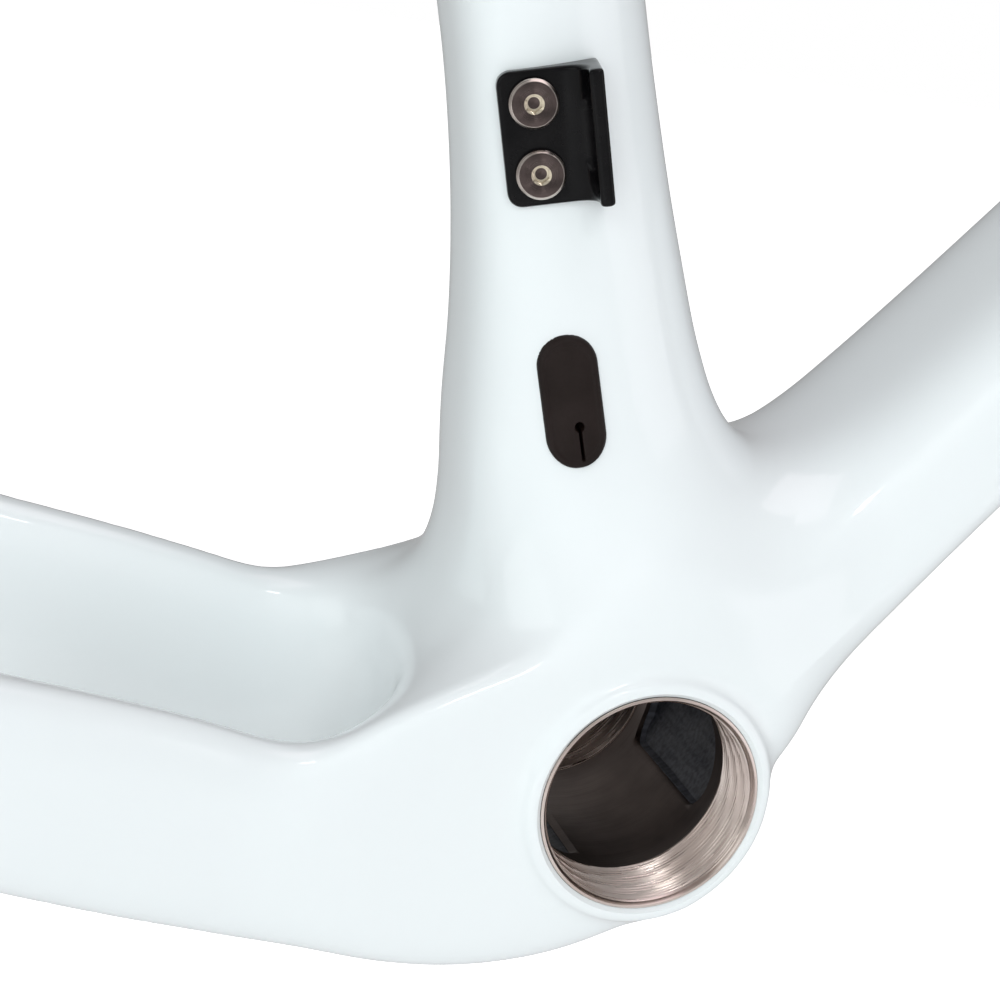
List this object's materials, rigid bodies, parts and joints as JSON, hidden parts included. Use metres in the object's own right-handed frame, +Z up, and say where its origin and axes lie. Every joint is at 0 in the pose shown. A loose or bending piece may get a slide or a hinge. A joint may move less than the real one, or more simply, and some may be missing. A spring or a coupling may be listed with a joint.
{
  "type": "bicycle bottom bracket junction",
  "caption": "Moulded carbon bottom bracket junction with a threaded sleeve, tube and chain stay stubs, a bolted front derailleur hanger and a rubber cable port.",
  "frame": {"origin": "centre of the bottom bracket shell, on the bore's axis midway between the two bearing faces", "axes": "+X towards the front of the bicycle, +Y towards its non-drive (left) side along the bore, +Z up"},
  "size_m": [0.2827, 0.1046, 0.2248],
  "materials": {
    "white_paint": "gloss clear-coated white paint over carbon laminate",
    "bare_carbon": "bare carbon laminate",
    "machined_aluminium": "bare machined",
    "rivnut_aluminium": "bare turned",
    "black_anodised": "gloss black anodised",
    "bolt_steel": "gunmetal plated steel, chamfered bright rim",
    "black_rubber": "matt moulded rubber"
  },
  "bodies": {
    "frame": {"bb_junction": "white_paint", "seat_tube": "white_paint", "down_tube": "white_paint", "chainstay_drive": "white_paint", "chainstay_nondrive": "white_paint", "seat_tube_lap": "bare_carbon", "down_tube_lap": "bare_carbon", "chainstay_drive_lap": "bare_carbon", "chainstay_nondrive_lap": "bare_carbon", "threaded_sleeve": "machined_aluminium", "hanger_rivnut_upper": "rivnut_aluminium", "hanger_rivnut_lower": "rivnut_aluminium"},
    "hanger": {"front_derailleur_hanger": "black_anodised"},
    "bolt_upper": {"hanger_bolt_upper": "bolt_steel"},
    "bolt_lower": {"hanger_bolt_lower": "bolt_steel"},
    "grommet": {"cable_port_grommet": "black_rubber"}
  },
  "joints": [
    {"name": "hanger_travel", "type": "slide", "parent": "frame", "child": "hanger", "axis": [-0.2321, -0.9703, -0.0683], "range_m": [0, 0.0064]},
    {"name": "bolt_upper_turn", "type": "hinge", "parent": "hanger", "child": "bolt_upper", "pos_m": [-0.0449, -0.01911, 0.14122], "axis": [-0.2321, -0.9703, -0.0683], "range_deg": [0, 2880]},
    {"name": "bolt_lower_turn", "type": "hinge", "parent": "hanger", "child": "bolt_lower", "pos_m": [-0.04086, -0.01911, 0.1275], "axis": [-0.2321, -0.9703, -0.0683], "range_deg": [0, 2880]},
    {"name": "grommet_pull", "type": "slide", "parent": "frame", "child": "grommet", "axis": [-0.0772, -0.9721, -0.2216], "range_m": [0, 0.012]}
  ],
  "couplings": [
    {"joint": "bolt_upper_turn", "follows": "hanger_travel", "rad_per_m": 7854},
    {"joint": "bolt_lower_turn", "follows": "hanger_travel", "rad_per_m": 7854}
  ]
}
